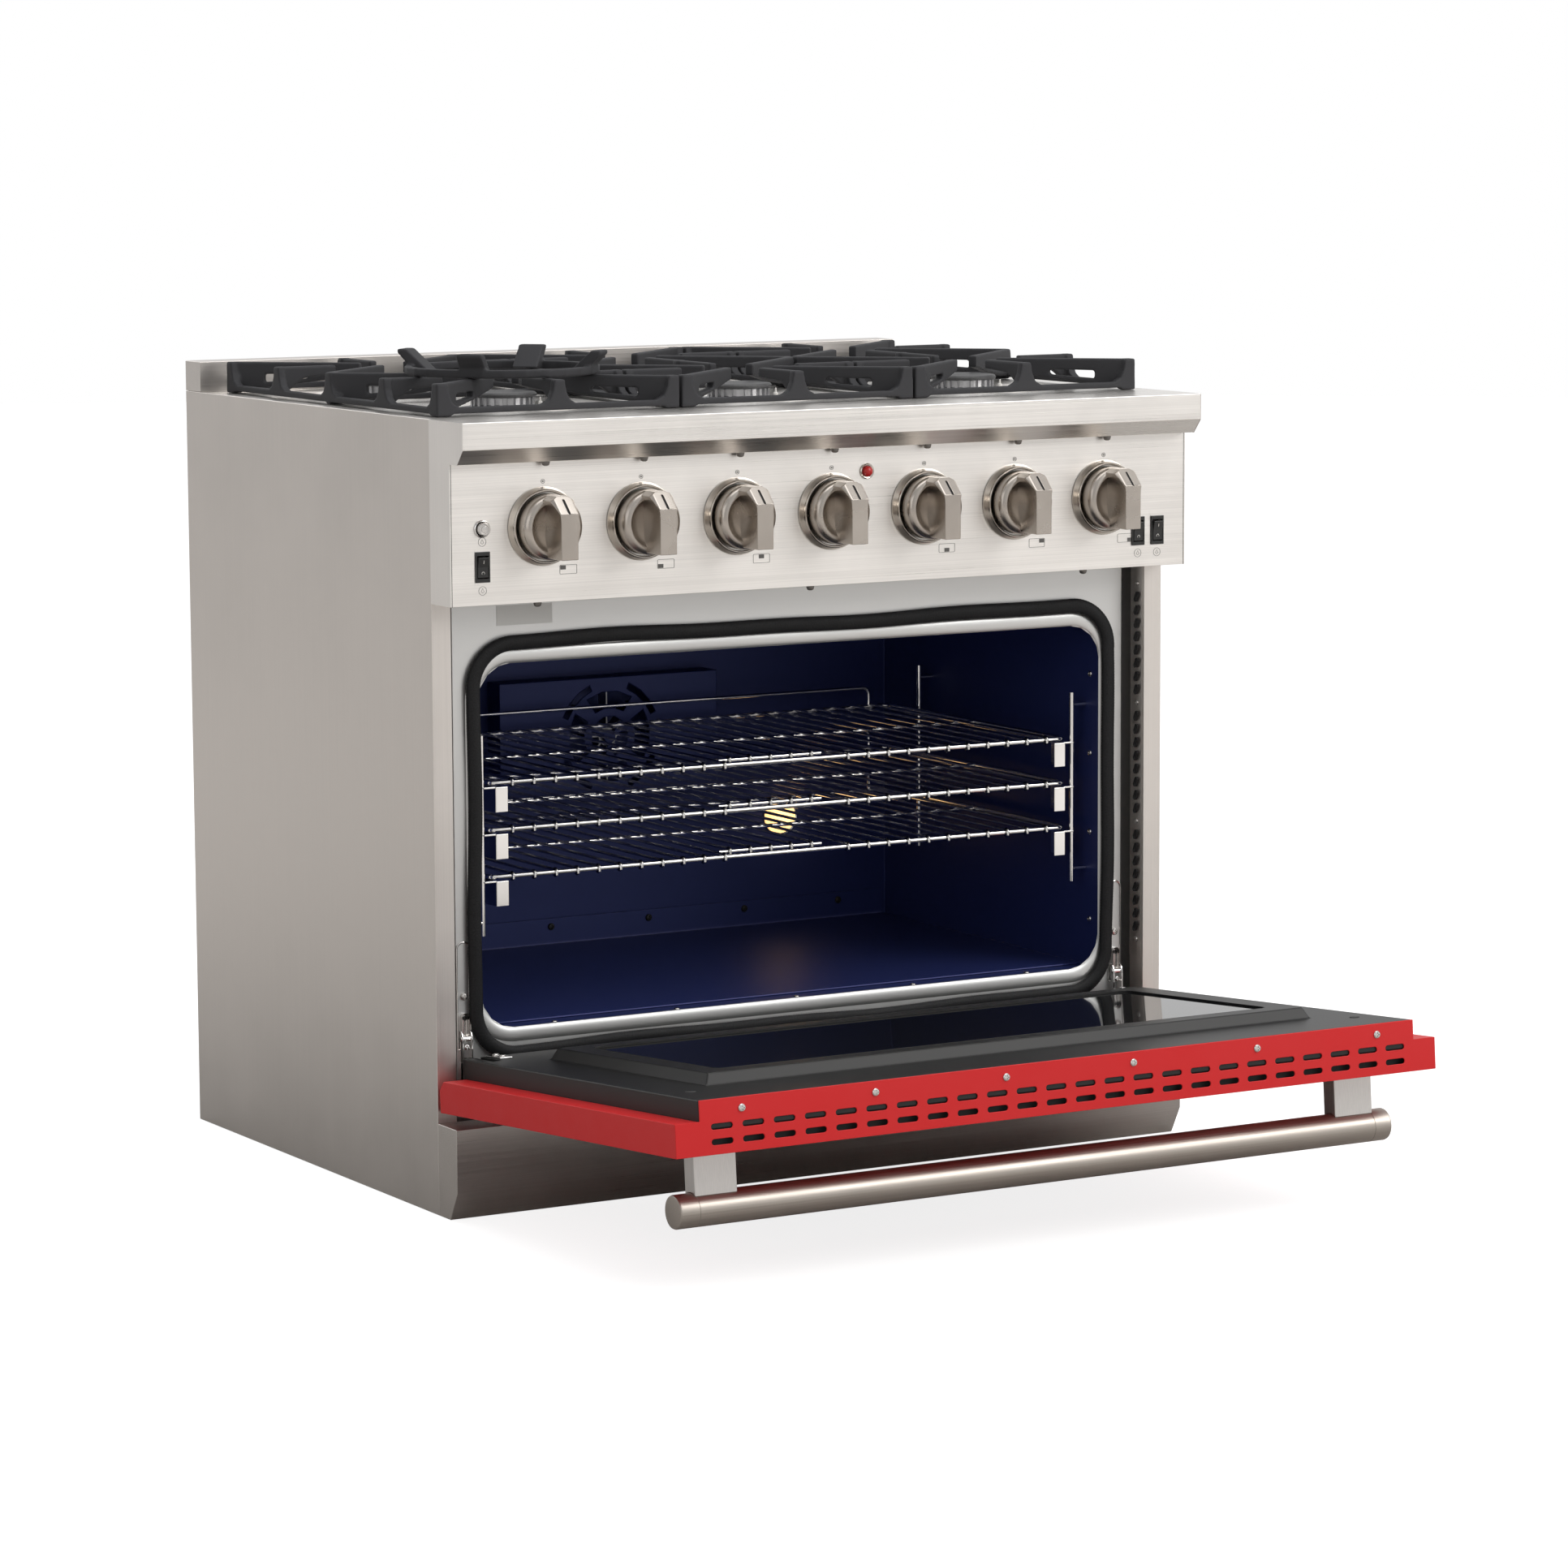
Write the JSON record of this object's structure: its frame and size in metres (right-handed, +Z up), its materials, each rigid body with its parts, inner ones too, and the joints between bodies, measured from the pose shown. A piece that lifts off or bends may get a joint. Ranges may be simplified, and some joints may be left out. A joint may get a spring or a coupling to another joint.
{
  "type": "freestanding gas range",
  "caption": "Freestanding gas range with cast grates and sealed burners over a convection oven with a drop-down window door, wire racks and a front knob panel.",
  "frame": {"origin": "middle of the cabinet's footprint on the floor, on the base pan's underside", "axes": "+Z up; -Y towards the cook, where the door opens; +Y to the wall; +X to the cook's right"},
  "size_m": [0.914, 1.1581, 0.9011],
  "materials": {
    "brushed_steel": "horizontal brushed grain, satin",
    "frame_steel": "fine brushed, satin",
    "galvanised_steel": "dull zinc",
    "door_gasket_braid": "braided glass fibre, matt",
    "blue_enamel": "glossy speckled enamel",
    "black_enamel": "glossy enamel",
    "red_paint": "glossy powder coat",
    "chrome_wire": "polished",
    "bright_steel": "bright",
    "door_glass": "dark tinted, clear gloss",
    "lamp_glass": "frosted, warm",
    "red_lens": "translucent red, gloss",
    "brass": "machined",
    "cast_aluminium": "cast, matt",
    "cast_iron": "porcelain-coated, fine grain",
    "black_plastic": "semi-gloss"
  },
  "bodies": {
    "cabinet": {"base_pan": "galvanised_steel", "side_panel_left": "brushed_steel", "side_panel_right": "brushed_steel", "back_panel": "galvanised_steel", "rear_trim": "brushed_steel", "cooktop": "brushed_steel", "control_panel": "brushed_steel", "kick_panel": "brushed_steel", "face_frame": "frame_steel", "door_gasket": "door_gasket_braid", "oven_liner": "blue_enamel", "fan_baffle": "blue_enamel", "rack_guide_left": "chrome_wire", "rack_guide_right": "chrome_wire", "oven_lamp": "lamp_glass", "indicator_lamp": "red_lens", "gas_manifold": "brass", "oven_burner": "galvanised_steel", "fan_motor": "galvanised_steel", "hinge_arm_left": "bright_steel", "hinge_arm_right": "bright_steel", "burner_left_front": "cast_aluminium", "burner_left_rear": "cast_aluminium", "burner_centre_front": "cast_aluminium", "burner_centre_rear": "cast_aluminium", "burner_right_front": "cast_aluminium", "burner_right_rear": "cast_aluminium"},
    "door": {"door_skin": "red_paint", "door_liner": "black_enamel", "door_glass_inner": "door_glass", "door_glass_outer": "door_glass", "handle_bar": "brushed_steel", "handle_post_left": "brushed_steel", "handle_post_right": "brushed_steel"},
    "fan": {"convection_fan": "cast_aluminium"},
    "rack_bottom": {"rack_bottom": "chrome_wire"},
    "rack_middle": {"rack_middle": "chrome_wire"},
    "rack_top": {"rack_top": "chrome_wire"},
    "grate_left": {"grate_left": "cast_iron"},
    "grate_centre": {"grate_centre": "cast_iron"},
    "grate_right": {"grate_right": "cast_iron"},
    "wok_ring": {"wok_ring": "cast_iron"},
    "rocker_left": {"rocker_switch_left": "black_plastic"},
    "rocker_middle": {"rocker_switch_middle": "black_plastic"},
    "rocker_right": {"rocker_switch_right": "black_plastic"},
    "push_button": {"push_button": "bright_steel"},
    "stem_1": {"valve_stem_1": "brass"},
    "knob_1": {"knob_1": "brushed_steel"},
    "stem_2": {"valve_stem_2": "brass"},
    "knob_2": {"knob_2": "brushed_steel"},
    "stem_3": {"valve_stem_3": "brass"},
    "knob_3": {"knob_3": "brushed_steel"},
    "stem_4": {"valve_stem_4": "brass"},
    "knob_4": {"knob_4": "brushed_steel"},
    "stem_5": {"valve_stem_5": "brass"},
    "knob_5": {"knob_5": "brushed_steel"},
    "stem_6": {"valve_stem_6": "brass"},
    "knob_6": {"knob_6": "brushed_steel"},
    "stem_7": {"valve_stem_7": "brass"},
    "knob_7": {"knob_7": "brushed_steel"}
  },
  "joints": [
    {"name": "door_hinge", "type": "hinge", "parent": "cabinet", "child": "door", "pos_m": [0, -0.3352, 0.1262], "axis": [1, 0, 0], "range_deg": [-85.56, 0]},
    {"name": "fan_spin", "type": "hinge", "parent": "cabinet", "child": "fan", "pos_m": [0, 0.17, 0.431], "axis": [0, -1, 0], "continuous": true},
    {"name": "rack_bottom_slide", "type": "slide", "parent": "cabinet", "child": "rack_bottom", "axis": [0, -1, 0], "range_m": [0, 0.3]},
    {"name": "rack_middle_slide", "type": "slide", "parent": "cabinet", "child": "rack_middle", "axis": [0, -1, 0], "range_m": [0, 0.3]},
    {"name": "rack_top_slide", "type": "slide", "parent": "cabinet", "child": "rack_top", "axis": [0, -1, 0], "range_m": [0, 0.3]},
    {"name": "grate_left_lift", "type": "slide", "parent": "cabinet", "child": "grate_left", "axis": [0, 0, 1], "range_m": [0, 0.1]},
    {"name": "grate_centre_lift", "type": "slide", "parent": "cabinet", "child": "grate_centre", "axis": [0, 0, 1], "range_m": [0, 0.1]},
    {"name": "grate_right_lift", "type": "slide", "parent": "cabinet", "child": "grate_right", "axis": [0, 0, 1], "range_m": [0, 0.1]},
    {"name": "wok_ring_lift", "type": "slide", "parent": "grate_left", "child": "wok_ring", "axis": [0, 0, 1], "range_m": [0, 0.05]},
    {"name": "rocker_left_tilt", "type": "hinge", "parent": "cabinet", "child": "rocker_left", "pos_m": [-0.42, -0.3554, 0.688], "axis": [-1, 0, 0], "range_deg": [0, 16]},
    {"name": "rocker_middle_tilt", "type": "hinge", "parent": "cabinet", "child": "rocker_middle", "pos_m": [0.3945, -0.3554, 0.688], "axis": [-1, 0, 0], "range_deg": [0, 16]},
    {"name": "rocker_right_tilt", "type": "hinge", "parent": "cabinet", "child": "rocker_right", "pos_m": [0.42, -0.3554, 0.688], "axis": [-1, 0, 0], "range_deg": [0, 16]},
    {"name": "button_press", "type": "slide", "parent": "cabinet", "child": "push_button", "axis": [0, 1, 0], "range_m": [0, 0.002], "stiffness_N_per_m": 400},
    {"name": "stem_1_press", "type": "slide", "parent": "cabinet", "child": "stem_1", "axis": [0, 1, 0], "range_m": [0, 0.003], "stiffness_N_per_m": 800},
    {"name": "knob_1_turn", "type": "hinge", "parent": "stem_1", "child": "knob_1", "pos_m": [-0.3486, -0.3604, 0.7275], "axis": [0, -1, 0], "range_deg": [0, 220]},
    {"name": "stem_2_press", "type": "slide", "parent": "cabinet", "child": "stem_2", "axis": [0, 1, 0], "range_m": [0, 0.003], "stiffness_N_per_m": 800},
    {"name": "knob_2_turn", "type": "hinge", "parent": "stem_2", "child": "knob_2", "pos_m": [-0.2324, -0.3604, 0.7275], "axis": [0, -1, 0], "range_deg": [0, 220]},
    {"name": "stem_3_press", "type": "slide", "parent": "cabinet", "child": "stem_3", "axis": [0, 1, 0], "range_m": [0, 0.003], "stiffness_N_per_m": 800},
    {"name": "knob_3_turn", "type": "hinge", "parent": "stem_3", "child": "knob_3", "pos_m": [-0.1162, -0.3604, 0.7275], "axis": [0, -1, 0], "range_deg": [0, 220]},
    {"name": "stem_4_press", "type": "slide", "parent": "cabinet", "child": "stem_4", "axis": [0, 1, 0], "range_m": [0, 0.003], "stiffness_N_per_m": 800},
    {"name": "knob_4_turn", "type": "hinge", "parent": "stem_4", "child": "knob_4", "pos_m": [0, -0.3604, 0.7275], "axis": [0, -1, 0], "range_deg": [0, 270]},
    {"name": "stem_5_press", "type": "slide", "parent": "cabinet", "child": "stem_5", "axis": [0, 1, 0], "range_m": [0, 0.003], "stiffness_N_per_m": 800},
    {"name": "knob_5_turn", "type": "hinge", "parent": "stem_5", "child": "knob_5", "pos_m": [0.1162, -0.3604, 0.7275], "axis": [0, -1, 0], "range_deg": [0, 220]},
    {"name": "stem_6_press", "type": "slide", "parent": "cabinet", "child": "stem_6", "axis": [0, 1, 0], "range_m": [0, 0.003], "stiffness_N_per_m": 800},
    {"name": "knob_6_turn", "type": "hinge", "parent": "stem_6", "child": "knob_6", "pos_m": [0.2324, -0.3604, 0.7275], "axis": [0, -1, 0], "range_deg": [0, 220]},
    {"name": "stem_7_press", "type": "slide", "parent": "cabinet", "child": "stem_7", "axis": [0, 1, 0], "range_m": [0, 0.003], "stiffness_N_per_m": 800},
    {"name": "knob_7_turn", "type": "hinge", "parent": "stem_7", "child": "knob_7", "pos_m": [0.3486, -0.3604, 0.7275], "axis": [0, -1, 0], "range_deg": [0, 220]}
  ]
}
